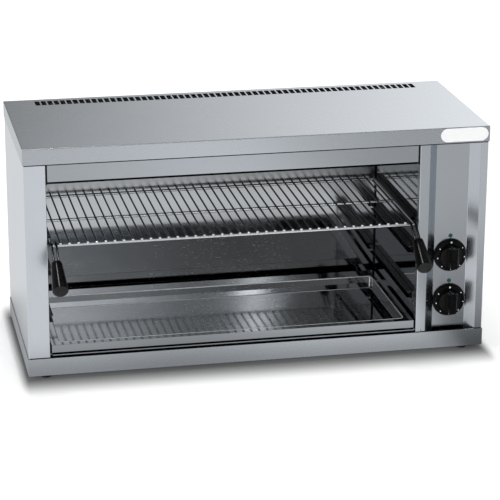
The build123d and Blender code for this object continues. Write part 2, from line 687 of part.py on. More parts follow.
for place, name in zip(foot_places, ("front_left", "rear_left", "front_right", "rear_right")):
    with BuildPart() as foot:
        with BuildSketch(Plane(origin=(*place, 0), x_dir=(1, 0, 0), z_dir=(0, -1, 0))):
            with BuildLine():
                Polyline(
                    (0, 0),
                    (FOOT_WAIST / 2, 0),
                    (FOOT_DIAMETER / 2, FOOT_HEIGHT),
                    (0, FOOT_HEIGHT),
                    close=True,
                )
            make_face()
        revolve(axis=Axis((*place, 0), (0, 0, 1)))
        with BuildSketch(Plane.XY):
            with Locations(place):
                Circle(SCREW_HEAD / 2 + SCREW_PLAY)
        extrude(amount=FOOT_SCREW_RECESS, mode=Mode.SUBTRACT)
        with BuildSketch(Plane.XY):
            with Locations(place):
                Circle(SCREW_DIAMETER / 2 + SCREW_PLAY)
        extrude(amount=FOOT_HEIGHT, mode=Mode.SUBTRACT)
    save(foot, f"{name}_foot")

with BuildPart() as foot_screws:
    with BuildSketch(Plane.XY.offset(FOOT_SCREW_RECESS)):
        with Locations(*foot_places):
            RegularPolygon(SCREW_HEAD / 2, 6)
    extrude(amount=-SCREW_HEAD_HEIGHT)
    with BuildSketch(Plane.XY.offset(FOOT_SCREW_RECESS)):
        with Locations(*foot_places):
            Circle(SCREW_DIAMETER / 2)
    extrude(amount=SCREW_LENGTH)
save(foot_screws, "foot_screws")

# ---------------------------------------------------------------- wire rack and handles

rail_floor_z = LOW_Z + RAIL_HEIGHTS["upper"] + SHEET
rod_z = rail_floor_z + RUNNING_GAP + FRAME_ROD / 2
rack_left = OPENING_LEFT + RACK_CLEARANCE + FRAME_ROD / 2
rack_right = OPENING_RIGHT - RACK_CLEARANCE - FRAME_ROD / 2
rack_front_y = FRONT_Y + RACK_FRONT
rack_rear_y = FRONT_Y + RACK_REAR
wire_z = rod_z + FRAME_ROD / 2 + WIRE / 2 - WELD_SINK
wire_span = OPENING_RIGHT - OPENING_LEFT - 2 * RACK_CLEARANCE - 2 * WIRE_MARGIN
wire_count = int(wire_span / WIRE_PITCH) + 1

with BuildPart() as wire_rack:
    with BuildLine() as frame_path:
        FilletPolyline(
            (rack_left, rack_front_y, rod_z),
            (rack_left, rack_rear_y, rod_z),
            (rack_right, rack_rear_y, rod_z),
            (rack_right, rack_front_y, rod_z),
            radius=RACK_CORNER,
            close=True,
        )
    with BuildSketch(Plane(origin=frame_path.line @ 0, z_dir=frame_path.line % 0)):
        RegularPolygon(FRAME_ROD / 2, ROD_SIDES, major_radius=False, rotation=FLAT_TURN)
    sweep()
    with BuildSketch(Plane.YZ.offset(rack_left)):
        with Locations(((rack_front_y + rack_rear_y) / 2, rod_z)):
            RegularPolygon(FRAME_ROD / 2, ROD_SIDES, major_radius=False, rotation=FLAT_TURN)
    extrude(amount=rack_right - rack_left)
    wire_rear_y = rack_rear_y + WIRE_OVERHANG
    with BuildSketch(Plane.XZ.offset(-wire_rear_y)):
        with Locations((OPENING_CENTRE, wire_z)):
            with GridLocations(WIRE_PITCH, 0, wire_count, 1):
                RegularPolygon(WIRE / 2, WIRE_SIDES, major_radius=False, rotation=180 / WIRE_SIDES)
    extrude(amount=wire_rear_y - rack_front_y + WIRE / 2)
save(wire_rack, "wire_rack")

tilt = radians(GRIP_TILT)
for name, side in SIDES.items():
    grip_x = (OPENING_RIGHT if side > 0 else OPENING_LEFT) - side * HANDLE_INSET
    leg_z = rod_z + FRAME_ROD / 2 + HANDLE_WIRE / 2
    bend_y = FRONT_Y - HANDLE_BEND_REACH
    grip_direction = Vector(0, -cos(tilt), -sin(tilt))
    root = Vector(grip_x, bend_y, leg_z) + grip_direction * HANDLE_SLOPE
    leg_end_y = rack_front_y + FRAME_ROD / 2 + HANDLE_WIRE / 2
    wire_tip = root + grip_direction * (GRIP_SOCKET - HANDLE_WIRE)
    outer_x = grip_x + side * HANDLE_SPACING / 2
    inner_x = grip_x - side * HANDLE_SPACING / 2

    with BuildPart() as handle_wire:
        with BuildLine() as wire_path:
            FilletPolyline(
                (outer_x, leg_end_y, leg_z),
                (outer_x, bend_y, leg_z),
                (outer_x, wire_tip.Y, wire_tip.Z),
                (inner_x, wire_tip.Y, wire_tip.Z),
                (inner_x, bend_y, leg_z),
                (inner_x, leg_end_y, leg_z),
                radius=[HANDLE_BEND, HANDLE_SPACING / 2 - FIT, HANDLE_SPACING / 2 - FIT, HANDLE_BEND],
            )
        with BuildSketch(Plane(origin=wire_path.line @ 0, z_dir=wire_path.line % 0)):
            RegularPolygon(HANDLE_WIRE / 2, ROD_SIDES, major_radius=False)
        sweep()
    save(handle_wire, f"{name}_handle_wire")

    with BuildPart() as grip:
        with BuildSketch(Plane(origin=root, x_dir=(1, 0, 0), z_dir=(0, sin(tilt), -cos(tilt)))):
            with BuildLine():
                shoulder = (GRIP_END_DIAMETER / 2, GRIP_LENGTH - GRIP_DOME)
                Polyline(
                    (0, GRIP_LENGTH),
                    (0, 0),
                    (GRIP_ROOT_DIAMETER / 2 - GRIP_ROOT_ROUND, 0),
                    (GRIP_ROOT_DIAMETER / 2, GRIP_ROOT_ROUND),
                    shoulder,
                )
                RadiusArc(shoulder, (0, GRIP_LENGTH), -DOME_RADIUS)
            make_face()
        revolve(axis=Axis(root, grip_direction))
        with BuildSketch(Plane(origin=root, x_dir=(1, 0, 0), z_dir=grip_direction)):
            SlotCenterToCenter(HANDLE_SPACING, HANDLE_WIRE + 2 * GRIP_SOCKET_PLAY)
        extrude(amount=GRIP_SOCKET, mode=Mode.SUBTRACT)
    save(grip, f"{name}_grip")

# ---------------------------------------------------------------- drip tray

with BuildPart() as drip_tray:
    tray_front_y = FRONT_Y + TRAY_FRONT
    tray_rear_y = FRONT_Y + TRAY_REAR
    tray_top_z = LOW_Z + TRAY_TOP
    tray_bottom_z = LOW_Z + TRAY_BOTTOM
    pan_front_y = tray_front_y + TRAY_FLANGE
    pan_rear_y = tray_rear_y - TRAY_REAR_FLANGE
    pan_centre = ((tray_left + tray_right) / 2, (pan_front_y + pan_rear_y) / 2)
    pan_width = tray_right - tray_left - 2 * TRAY_FLANGE
    pan_depth = pan_rear_y - pan_front_y
    with BuildSketch(Plane.XY.offset(tray_top_z)):
        with Locations((pan_centre[0], (tray_front_y + tray_rear_y) / 2)):
            Rectangle(tray_right - tray_left, tray_rear_y - tray_front_y)
    extrude(amount=-TRAY_SHEET)
    with BuildSketch(Plane.XY.offset(tray_bottom_z)):
        with Locations(pan_centre):
            RectangleRounded(pan_width + 2 * TRAY_SHEET, pan_depth + 2 * TRAY_SHEET, TRAY_CORNER)
    extrude(amount=TRAY_TOP - TRAY_BOTTOM - TRAY_SHEET)
    with BuildSketch(Plane.XY.offset(tray_bottom_z + TRAY_SHEET)):
        with Locations(pan_centre):
            RectangleRounded(pan_width, pan_depth, TRAY_CORNER - TRAY_SHEET)
    extrude(amount=TRAY_TOP - TRAY_BOTTOM, mode=Mode.SUBTRACT)
    with BuildSketch(Plane.XZ.offset(-tray_front_y)):
        with Locations((pan_centre[0], tray_bottom_z)):
            Rectangle(tray_right - tray_left, TRAY_TOP - TRAY_BOTTOM, align=(Align.CENTER, Align.MIN))
    extrude(amount=-TRAY_SHEET)
save(drip_tray, "drip_tray")
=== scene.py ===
"""Looks of the cheese melter: finishes, smooth wire work, grips, knobs, studio and camera.

Lengths are in metres, +X is the right-hand side seen from the front and +Y points to the back.
"""

import json
import math

import bmesh
import bpy
from mathutils import Matrix, Vector

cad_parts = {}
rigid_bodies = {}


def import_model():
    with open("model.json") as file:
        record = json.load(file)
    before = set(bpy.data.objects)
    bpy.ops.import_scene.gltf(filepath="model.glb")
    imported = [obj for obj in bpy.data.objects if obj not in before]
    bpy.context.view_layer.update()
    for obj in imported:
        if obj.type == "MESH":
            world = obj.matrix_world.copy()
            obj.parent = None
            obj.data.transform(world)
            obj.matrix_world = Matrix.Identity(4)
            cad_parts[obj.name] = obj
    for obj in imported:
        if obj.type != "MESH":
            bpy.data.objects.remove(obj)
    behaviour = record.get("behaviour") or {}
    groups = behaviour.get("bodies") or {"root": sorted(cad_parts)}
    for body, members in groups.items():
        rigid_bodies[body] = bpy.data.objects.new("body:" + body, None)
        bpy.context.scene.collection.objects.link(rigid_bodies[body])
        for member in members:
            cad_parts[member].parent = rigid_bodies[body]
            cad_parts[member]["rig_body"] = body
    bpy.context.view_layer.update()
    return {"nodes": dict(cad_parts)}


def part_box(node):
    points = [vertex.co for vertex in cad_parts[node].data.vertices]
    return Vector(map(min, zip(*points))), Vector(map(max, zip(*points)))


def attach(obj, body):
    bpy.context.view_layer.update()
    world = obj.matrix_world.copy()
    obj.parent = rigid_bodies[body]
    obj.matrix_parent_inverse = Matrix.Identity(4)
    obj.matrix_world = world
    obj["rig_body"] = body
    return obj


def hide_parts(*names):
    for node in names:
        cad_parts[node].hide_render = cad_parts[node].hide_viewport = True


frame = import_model()
CAD = frame["nodes"]
MM = 0.001

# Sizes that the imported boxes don't give
ROD = 2.5 * MM  # radius of the rack's frame rod
WIRE = 1.5 * MM  # radius of the rack's wires
WIRE_SKIN = 1.6 * MM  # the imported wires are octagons, this is near their corners
WIRE_PITCH = 15.27 * MM
WIRE_COUNT = 40
WIRE_OVERHANG = 9 * MM  # past the centre of the rear rod
RACK_CORNER = 6 * MM
HANDLE_WIRE = 2 * MM  # radius of the handles' wires
HANDLE_HALF_SPACING = 4 * MM
HANDLE_BEND = 7 * MM
HANDLE_BEND_REACH = 2.27 * MM  # from the case's front to the point where the wires turn down
HANDLE_SLOPE = 38.27 * MM  # from that point to the root of the grip
GRIP_TILT = math.radians(34)
GRIP_SOCKET = 20 * MM
GRIP_LENGTH = 58 * MM  # up to the rim of the domed end
TRAY_FLANGE = 14.0 * MM
TRAY_REAR_FLANGE = 31.0 * MM

cover_low, cover_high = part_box("top_cover")
base_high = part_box("base_pan")[1]
rack_low, rack_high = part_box("wire_rack")
tray_low, tray_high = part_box("drip_tray")
front_y = cover_low.y

# Where the handles' wires turn down, and how far down their slope the rim of the grips lies
leg_z = rack_low.z + 2 * ROD + HANDLE_WIRE
turn_y = front_y - HANDLE_BEND_REACH
slope_start = -turn_y * math.cos(GRIP_TILT) - leg_z * math.sin(GRIP_TILT)
grip_rim = slope_start + HANDLE_SLOPE + GRIP_LENGTH


# ---------------------------------------------------------------- shader maths


def label(name):
    """A socket's label from its name in code."""
    return name.replace("_", " ").title().replace("Ior", "IOR")


class Signal:
    """A shader socket that takes part in plain arithmetic."""

    def __init__(self, finish, socket):
        self.finish = finish
        self.socket = socket

    def outlet(self, name):
        """Another output of the same node."""
        return Signal(self.finish, self.socket.node.outputs[name])

    def split(self):
        """The X, Y and Z of a vector."""
        parts = self.finish.add("ShaderNodeSeparateXYZ", None, self)
        return parts, parts.outlet("Y"), parts.outlet("Z")

    def maths(self, operation, *values):
        return self.finish.add("ShaderNodeMath", {"operation": operation}, *values)

    def __add__(self, other):
        return self.maths("ADD", self, other)

    def __sub__(self, other):
        return self.maths("SUBTRACT", self, other)

    def __rsub__(self, other):
        return self.maths("SUBTRACT", other, self)

    def __mul__(self, other):
        return self.maths("MULTIPLY", self, other)

    def __truediv__(self, other):
        return self.maths("DIVIDE", self, other)

    __radd__ = __add__

    def at_least(self, other):
        return self.maths("MAXIMUM", self, other)

    def clamp(self):
        return self.maths("MINIMUM", self.at_least(0.0), 1.0)

    def rise(self, start, end):
        """0 below start, 1 above end and a smooth step between them."""
        settings = {"interpolation_type": "SMOOTHSTEP"}
        return self.finish.add("ShaderNodeMapRange", settings, self, start, end)


class Finish:
    """A node-based material with one Principled shader, or the world with its background."""

    def __init__(self, name, world=None, **constants):
        self.material = world or bpy.data.materials.new(name)
        self.material.use_nodes = True
        self.tree = self.material.node_tree
        self.surface = self.tree.nodes["Background" if world else "Principled BSDF"]
        self.feed(**constants)

    def connect(self, value, socket):
        """Link a signal to a socket, or write a number, a vector or a colour into it."""
        if isinstance(value, Signal):
            self.tree.links.new(value.socket, socket)
        else:
            socket.default_value = (*value, 1.0) if socket.type == "RGBA" else value

    def feed(self, **values):
        """Connect values to the surface's sockets."""
        for socket, value in values.items():
            self.connect(value, self.surface.inputs[label(socket)])

    def add(self, kind, settings=None, *values, output=0, **named):
        """Add a node: its settings first, then the values or links of its sockets."""
        node = self.tree.nodes.new(kind)
        for key, value in (settings or {}).items():
            setattr(node, key, value)
        for key, value in [*enumerate(values), *named.items()]:
            if value is not None:
                self.connect(value, node.inputs[key if isinstance(key, int) else label(key)])
        return Signal(self, node.outputs[output])

    def place(self, scale=(1, 1, 1), turn=(0, 0, 0)):
        """Object coordinates, stretched by the scale."""
        coordinates = self.add("ShaderNodeTexCoord", output=3)
        return self.add("ShaderNodeMapping", None, coordinates, None, turn, scale)

    def noise(self, scale, stretch=(1, 1, 1), detail=3.0, roughness=0.5, turn=(0, 0, 0)):
        place = self.place(stretch, turn)
        return self.add(
            "ShaderNodeTexNoise", None, place, scale=scale, detail=detail, roughness=roughness
        )

    def mix(self, factor, first, second):
        """Blend two colours."""
        blend = self.add("ShaderNodeMix", {"data_type": "RGBA"}, output=2)
        for index, value in ((0, factor), (6, first), (7, second)):
            self.connect(value, blend.socket.node.inputs[index])
        return blend

    def ramp(self, position, stops):
        """A grey that follows the stops, each a place and its grey."""
        grey = self.add("ShaderNodeValToRGB", None, position)
        elements = grey.socket.node.color_ramp.elements
        elements[0].position, elements[1].position = stops[0][0], stops[-1][0]
        for place, _ in stops[1:-1]:
            elements.new(place)
        for element, (_, level) in zip(elements, stops):
            element.color = (level, level, level, 1.0)
        return grey

    def bump(self, height, strength, distance):
        relief = {"strength": strength, "distance": distance, "height": height}
        self.feed(normal=self.add("ShaderNodeBump", None, **relief))


# ---------------------------------------------------------------- finishes

COOL = (0.935, 1.0, 1.07)  # tint of the stainless sheet
MIRROR_COOL = (0.965, 1.0, 1.035)  # weaker, because the bright sheets mirror one another
# colour of the painted shade along the foot of the hood
PAINTED_HOOD_SHADE = (0.055, 0.06, 0.065)
SCRATCH_GLINT = (0.92, 0.93, 0.94)
# colour of the painted shade on the tray's front face
APRON_SHADE = (0.34, 0.36, 0.38)
MATT_PLASTIC = (0.022, 0.022, 0.022)
BLACK_PHENOLIC = (0.002, 0.002, 0.002), (0.005, 0.005, 0.005)
GRAIN_STRETCH = 22.0  # how much finer the brushed grain is across than along
RELIEF = 0.1 * MM  # depth of the grain and of the surface tooth
SCRATCHES = ((0.5, 3.0), (-0.9, 2.0), (1.8, 4.0))  # turn and stretch of each set of scratches
FADE_RUN = (-0.30, 0.05)  # the tone of a sheet with a fade falls off between these X, a painted shade
HAZE_RUN = (0.19, 0.26)  # the haze above the rack sets in between these heights


def shades(tone, tint, spread):
    """The darker and the lighter colour of a sheet."""
    return [[tone * channel * share for channel in tint] for share in (1 - spread, 1 + spread)]


def brushed_steel(name, grain, tone, rough, lip=None):
    """Stainless sheet with a fine linear grain along one axis and a little handling haze.

    Below the height called lip the sheet is painted dark: painted shade along the foot of the hood.
    """
    finish = Finish(name, metallic=1.0)
    dark, light = shades(tone, COOL, 0.03)
    stretch = [1.0 if axis == grain else GRAIN_STRETCH for axis in "XYZ"]
    fine = finish.noise(90.0, stretch, detail=4.0, roughness=0.6)
    haze = finish.noise(6.0)
    colour = finish.mix((fine * 0.7 + haze * 0.3).rise(0.36, 0.64), dark, light)
    if lip is not None:
        _, _, height = finish.place().split()
        # painted shade below the lip
        colour = finish.mix(height.rise(lip - 0.3 * MM, lip + 0.3 * MM), PAINTED_HOOD_SHADE, colour)
    roughness = rough + (fine - 0.5) * 0.06 + (haze - 0.5) * 0.06
    finish.feed(base_color=colour, roughness=roughness)
    finish.bump(fine, 0.02, RELIEF)
    return finish.material


def mirror_steel(name, tone, rough, wave, fade=0.0, lean=(0.0, 0.0), hazed=0.0, apron=None):
    """Bright-rolled sheet: slightly uneven, hazed by cleaning and marked with fine scratches.

    wave is the depth of the unevenness. With fade the tone falls off from the left to the
    right, a painted shade; lean is the slope at which the sheet rises to the back and to the
    top; hazed is added to the roughness above the rack; in front of apron the sheet is
    painted darker, a painted shade on its front face.
    """
    finish = Finish(name, metallic=1.0)
    dark, light = shades(tone, MIRROR_COOL, 0.08)
    haze = finish.noise(9.0, detail=4.0)
    unevenness = finish.noise(6.0, (1.0, 1.6, 1.6), detail=1.0)
    scratch = 0.0
    for turn, stretch in SCRATCHES:
        lines = finish.noise(34.0, (stretch, 130.0, 60.0), 1.0, 0.3, (0.0, turn * 0.4, turn))
        scratch = lines.rise(0.735, 0.775) + scratch
    marks = (scratch * haze.rise(0.36, 0.62)).clamp()
    colour = finish.mix((haze.rise(0.35, 0.7) * 0.6 + marks * 0.8).clamp(), dark, light)
    across, along, height = finish.place().split()
    # painted shade: the tone darkens towards the right
    if fade:
        dimmed = [channel * (1.0 - fade) for channel in dark]
        colour = finish.mix(across.rise(*FADE_RUN), colour, dimmed)
    colour = finish.mix(marks * 0.45, colour, SCRATCH_GLINT)
    # painted shade: in front of apron the sheet is painted darker
    if apron is not None:
        colour = finish.mix(along.rise(apron, apron + 0.5 * MM), APRON_SHADE, colour)
    roughness = rough + haze.rise(0.4, 0.75) * 0.025 + marks * 0.25
    roughness = roughness + height.rise(*HAZE_RUN) * hazed
    finish.feed(base_color=colour, roughness=roughness)
    surface = unevenness * wave + marks * 0.02 * wave + along * lean[0] + height * lean[1]
    finish.bump(surface, 1.0, 1.0)
    return finish.material


def plain_metal(name, dark, light, rough, metallic=1.0):
    """Small metal parts: a soft mottled tone and a fine tooth."""
    finish = Finish(name, metallic=metallic)
    mottle = finish.noise(160.0, detail=4.0)
    tooth = finish.noise(1400.0, detail=2.0)
    finish.feed(
        base_color=finish.mix(mottle.rise(0.3, 0.7), dark, light),
        roughness=rough + (mottle - 0.5) * 0.16,
    )
    finish.bump(tooth, 0.08, RELIEF)
    return finish.material


def moulding(name, dark, light, rough, gloss, tooth, matt_past=None):
    """Moulded plastic or rubber with a faint flow pattern and a fine surface tooth.

    Past the distance called matt_past down the slope of the handles it is matt and greyer.
    """
    finish = Finish(name, specular_ior_level=gloss)
    flow = finish.noise(90.0, (1.0, 1.0, 2.5))
    grain = finish.noise(1800.0, detail=2.0)
    wear = finish.noise(420.0).rise(0.6, 0.78)
    colour = finish.mix((flow.rise(0.3, 0.7) * 0.7 + wear * 0.3).clamp(), dark, light)
    roughness = rough + (flow - 0.5) * 0.10 + wear * 0.08
    if matt_past is not None:
        _, back, height = finish.place().split()
        reach = back * -math.cos(GRIP_TILT) - height * math.sin(GRIP_TILT)
        matt = reach.rise(matt_past - 0.4 * MM, matt_past + 0.4 * MM)
        colour = finish.mix(matt, colour, MATT_PLASTIC)
        roughness = roughness + matt * 0.2
    finish.feed(base_color=colour, roughness=roughness)
    finish.bump(grain, tooth, RELIEF)
    return finish.material


# top of the painted shade along the foot of the hood
hood_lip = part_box("hood_front")[0].z + 5.0 * MM
# the tray's front face, in front of this, is painted darker as painted shade
tray_apron = tray_low.y + 1.0 * MM

# The uprights are painted lighter and the hood darker than the cover: painted light and shade on
# one brushed steel
cover_sheet = brushed_steel("cover_sheet", "X", tone=0.54, rough=0.27)
shaded_hood_sheet = brushed_steel("shaded_hood_sheet", "X", tone=0.46, rough=0.24, lip=hood_lip)
base_sheet = brushed_steel("base_sheet", "X", tone=0.58, rough=0.27)
lit_upright_sheet = brushed_steel("lit_upright_sheet", "Z", tone=0.74, rough=0.25)
panel_sheet = brushed_steel("panel_sheet", "Z", tone=0.58, rough=0.24)
rear_sheet = brushed_steel("rear_sheet", "X", tone=0.47, rough=0.44)
liner_steel = mirror_steel("polished_liner", tone=0.50, rough=0.06, wave=0.08 * MM)
satin_liner = mirror_steel(
    "satin_liner", tone=0.64, rough=0.055, wave=0.05 * MM, fade=0.36, lean=(0.0, 0.021), hazed=0.25
)
tray_steel = mirror_steel(
    "polished_tray",
    tone=0.90,
    rough=0.030,
    wave=0.06 * MM,
    fade=0.4,
    lean=(0.03, 0.0),
    apron=tray_apron,
)
# the rails are painted near black: painted shade of their dark channels
shaded_rail_steel = plain_metal("satin_rail", (0.06, 0.06, 0.063), (0.11, 0.11, 0.113), 0.20)
# the wires' chrome is painted near black: painted shade for the dark surroundings they mirror,
# though it is the same chrome as the frame
shaded_chrome = plain_metal("chromed_wire", (0.022, 0.023, 0.024), (0.042, 0.043, 0.045), 0.14)
# the frame's chrome is painted far brighter than the wires': a painted highlight
lit_frame_chrome = plain_metal("lit_frame_chrome", (0.66, 0.69, 0.73), (0.80, 0.83, 0.87), 0.16)
# white and partly non-metal, so the weld beads show as bright dots: a painted highlight
highlight_chrome = plain_metal("highlight_chrome", (0.90, 0.91, 0.92), (0.96, 0.96, 0.96), 0.20, 0.4)
# bright and partly non-metal, so the hem shows as a light line: a painted highlight
lit_hem_steel = plain_metal("lit_hem_steel", (0.78, 0.80, 0.82), (0.88, 0.89, 0.91), 0.15, 0.3)
shaft_steel = plain_metal("shaft_steel", (0.45, 0.45, 0.45), (0.58, 0.58, 0.58), 0.25)
zinc = plain_metal("zinc_plate", (0.46, 0.48, 0.50), (0.62, 0.63, 0.65), 0.30)
element_sheath = plain_metal("element_sheath", (0.06, 0.055, 0.05), (0.13, 0.12, 0.11), 0.55)
ceramic = moulding(
    "ceramic", (0.66, 0.64, 0.58), (0.76, 0.74, 0.68), rough=0.45, gloss=0.4, tooth=0.10
)
insulating_plastic = moulding(
    "insulating_plastic", (0.50, 0.48, 0.42), (0.60, 0.58, 0.52), rough=0.42, gloss=0.4, tooth=0.10
)
gland_plastic = moulding(
    "gland_plastic",
    (0.022, 0.022, 0.024),
    (0.040, 0.040, 0.042),
    rough=0.42,
    gloss=0.35,
    tooth=0.12,
)
foot_rubber = moulding(
    "foot_rubber", (0.014, 0.014, 0.015), (0.030, 0.030, 0.031), rough=0.72, gloss=0.2, tooth=0.25
)
shadow_gap = moulding(
    "shadow_gap", (0.010, 0.010, 0.011), (0.018, 0.018, 0.019), rough=0.8, gloss=0.1, tooth=0.1
)
grip_phenolic = moulding(
    "grip_phenolic", *BLACK_PHENOLIC, rough=0.13, gloss=0.07, tooth=0.04, matt_past=grip_rim
)
knob_phenolic = moulding("knob_phenolic", *BLACK_PHENOLIC, rough=0.13, gloss=0.10, tooth=0.05)
dot_paint = moulding(
    "dot_paint", (0.78, 0.78, 0.76), (0.86, 0.86, 0.84), rough=0.45, gloss=0.4, tooth=0.08
)
mark_enamel = moulding(
    "mark_enamel", (0.018, 0.060, 0.060), (0.028, 0.085, 0.085), rough=0.30, gloss=0.2, tooth=0.05
)
plate_enamel = moulding(
    "plate_enamel", (0.90, 0.91, 0.92), (0.94, 0.94, 0.94), rough=0.30, gloss=0.3, tooth=0.04
)


# ---------------------------------------------------------------- mesh helpers


def as_object(name, bm):
    """Put a bmesh into the scene as an object."""
    mesh = bpy.data.meshes.new(name)
    bm.to_mesh(mesh)
    bm.free()
    piece = bpy.data.objects.new(name, mesh)
    bpy.context.scene.collection.objects.link(piece)
    return piece


def finished(name, bm, material, body, sharp=35.0):
    """Turn a bmesh into a smooth-shaded piece that rides on a body."""
    piece = as_object(name, bm)
    mesh = piece.data
    imported = mesh.attributes.get("custom_normal")
    if imported:
        mesh.attributes.remove(imported)
    mesh.polygons.foreach_set("use_smooth", [True] * len(mesh.polygons))
    mesh.set_sharp_from_angle(angle=math.radians(sharp))
    mesh.materials.append(material)
    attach(piece, body)
    return piece


def evaluated(piece):
    """A new mesh of the piece with its modifiers applied."""
    depsgraph = bpy.context.evaluated_depsgraph_get()
    return bpy.data.meshes.new_from_object(piece.evaluated_get(depsgraph))


def even_shading(piece):
    """Keep the flat faces flat where they meet a small fold or round."""
    weighted = piece.modifiers.new("even_shading", "WEIGHTED_NORMAL")
    weighted.keep_sharp = True
    weighted.weight = 100


def round_edges(piece, width, angle):
    """Round the edges that turn by more than an angle in degrees."""
    bevel = piece.modifiers.new("round_edges", "BEVEL")
    bevel.width = width
    bevel.segments = 3
    bevel.limit_method = "ANGLE"
    bevel.angle_limit = math.radians(angle)


BENDS = {"drip_tray": 0.35 * MM}  # nodes whose folds are rounded, and how wide


def smooth_copy(node, material):
    """Stand in for the CAD node with smooth folds and rounds."""
    bm = bmesh.new()
    bm.from_mesh(CAD[node].data)
    bmesh.ops.remove_doubles(bm, verts=bm.verts, dist=0.002 * MM)
    piece = finished(f"{node}_skin", bm, material, CAD[node]["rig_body"], sharp=32.0)
    if node in BENDS:
        round_edges(piece, BENDS[node], 60)
    even_shading(piece)
    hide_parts(node)


def verts_in(geometry):
    return [item for item in geometry if isinstance(item, bmesh.types.BMVert)]


def edges_among(verts):
    """The edges that have both ends among the verts."""
    ends = set(verts)
    found = dict.fromkeys(edge for vert in verts for edge in vert.link_edges)
    return [edge for edge in found if set(edge.verts) <= ends]


def turned(bm, profile, rounds=(), steps=48, segments=3):
    """Spin a profile of (radius, height) points round Z; rounds gives a radius for some corners."""
    verts = [bm.verts.new((radius, 0.0, height)) for radius, height in profile]
    for pair in zip(verts, verts[1:]):
        bm.edges.new(pair)
    for index, radius in rounds:
        bmesh.ops.bevel(
            bm,
            geom=[verts[index]],
            offset=radius,
            segments=segments,
            profile=0.5,
            affect="VERTICES",
            material=-1,
        )
    bmesh.ops.spin(
        bm,
        geom=[*bm.verts, *bm.edges],
        cent=(0, 0, 0),
        axis=(0, 0, 1),
        angle=2 * math.pi,
        steps=steps,
        use_merge=True,
    )
    bmesh.ops.remove_doubles(bm, verts=bm.verts, dist=0.005 * MM)
    bmesh.ops.recalc_face_normals(bm, faces=bm.faces)


def bent_rod(bm, start, heading, radius, moves, sides=16, closed=False):
    """Lead a round section along straight runs and round bends."""
    heading = Vector(heading).normalized()
    matrix = Matrix.Translation(start) @ heading.to_track_quat("Z", "Y").to_matrix().to_4x4()
    verts = bmesh.ops.create_circle(bm, segments=sides, radius=radius, matrix=matrix)["verts"]
    edges = first = edges_among(verts)
    made = list(verts)
    for move in moves:
        if move[0] == "run":
            verts = verts_in(bmesh.ops.extrude_edge_only(bm, edges=edges)["geom"])
            bmesh.ops.translate(bm, verts=verts, vec=heading * move[1])
        else:
            _, bend_radius, towards, angle = move
            towards = Vector(towards).normalized()
            axis = heading.cross(towards)
            centre = sum((vert.co for vert in verts), Vector()) / sides
            bend = bmesh.ops.spin(
                bm,
                geom=edges,
                cent=centre + towards * bend_radius,
                axis=axis,
                angle=angle,
                steps=max(3, round(math.degrees(angle) / 9)),
            )
            verts = verts_in(bend["geom_last"])
            heading = Matrix.Rotation(angle, 3, axis) @ heading
        edges = edges_among(verts)
        made += verts
    if closed:
        bmesh.ops.remove_doubles(bm, verts=made, dist=0.02 * MM)
    else:
        bmesh.ops.edgeloop_fill(bm, edges=first)
        bmesh.ops.edgeloop_fill(bm, edges=edges)
    bmesh.ops.recalc_face_normals(bm, faces=bm.faces)


def rounded_loop(bm, low, high, height, radius, corner, sides=16):
    """Lead a closed round rod along a level rectangle with round corners."""
    side_run = high.y - low.y - 2 * corner
    front_run = high.x - low.x - 2 * corner
    moves = []
    for run, towards in (
        (side_run, (1, 0, 0)),
        (front_run, (0, -1, 0)),
        (side_run, (-1, 0, 0)),
        (front_run, (0, 1, 0)),
    ):
        moves += [("run", run), ("bend", corner, towards, math.pi / 2)]
    bent_rod(bm, (low.x, low.y + corner, height), (0, 1, 0), radius, moves, sides, closed=True)


def repeat_along_x(bm, count, pitch):
    """Copy everything in the mesh to count places."""
    first = [*bm.verts, *bm.edges, *bm.faces]
    for index in range(1, count):
        copy = bmesh.ops.duplicate(bm, geom=first)["geom"]
        bmesh.ops.translate(bm, verts=verts_in(copy), vec=(index * pitch, 0, 0))


def strip(bm, low, high):
    """Add a box between two corners given in millimetres."""
    low, high = Vector(low) * MM, Vector(high) * MM
    matrix = Matrix.Translation((low + high) / 2) @ Matrix.Diagonal((*(high - low), 1.0))
    bmesh.ops.create_cube(bm, size=1.0, matrix=matrix)


def facing_front(place):
    """The matrix that turns what was made upwards to the front, at a place."""
    return Matrix.Translation(place) @ Matrix.Rotation(math.pi / 2, 4, "X")


# ---------------------------------------------------------------- sheet metal and fittings

LOOKS = {
    cover_sheet: ("brushed_casing", "top_cover"),
    shaded_hood_sheet: ("brushed_casing", "hood_front"),
    base_sheet: ("brushed_casing", "base_pan"),
    lit_upright_sheet: ("brushed_casing", "left_side right_side"),
    panel_sheet: ("brushed_casing", "control_panel"),
    rear_sheet: ("plain_rear_sheet", "rear_panel"),
    liner_steel: ("polished_liner", "left_liner right_liner cavity_floor"),
    satin_liner: ("polished_liner", "ceiling_liner rear_liner"),
    tray_steel: ("polished_tray", "drip_tray"),
    shaded_rail_steel: (
        "satin_rail",
        "left_rail_upper left_rail_middle left_rail_lower"
        " right_rail_upper right_rail_middle right_rail_lower"
        " left_tray_runner right_tray_runner left_element_hanger right_element_hanger",
    ),
    zinc: ("zinc_screw", "rear_screws foot_screws regulator_screws"),
    element_sheath: ("element_sheath", "front_element rear_element"),
    ceramic: ("ceramic", "element_bushings"),
    insulating_plastic: ("insulating_plastic", "upper_regulator lower_regulator terminal_block"),
    gland_plastic: ("gland_plastic", "cable_gland gland_locknut"),
    foot_rubber: ("foot_rubber", "front_left_foot front_right_foot rear_left_foot rear_right_foot"),
    shaft_steel: ("shaft_steel", "upper_shaft lower_shaft"),
    shaded_chrome: ("chromed_wire", "wire_rack left_handle_wire right_handle_wire"),
    grip_phenolic: ("grip_phenolic", "left_grip right_grip"),
    knob_phenolic: ("knob_phenolic", "upper_knob lower_knob"),
}
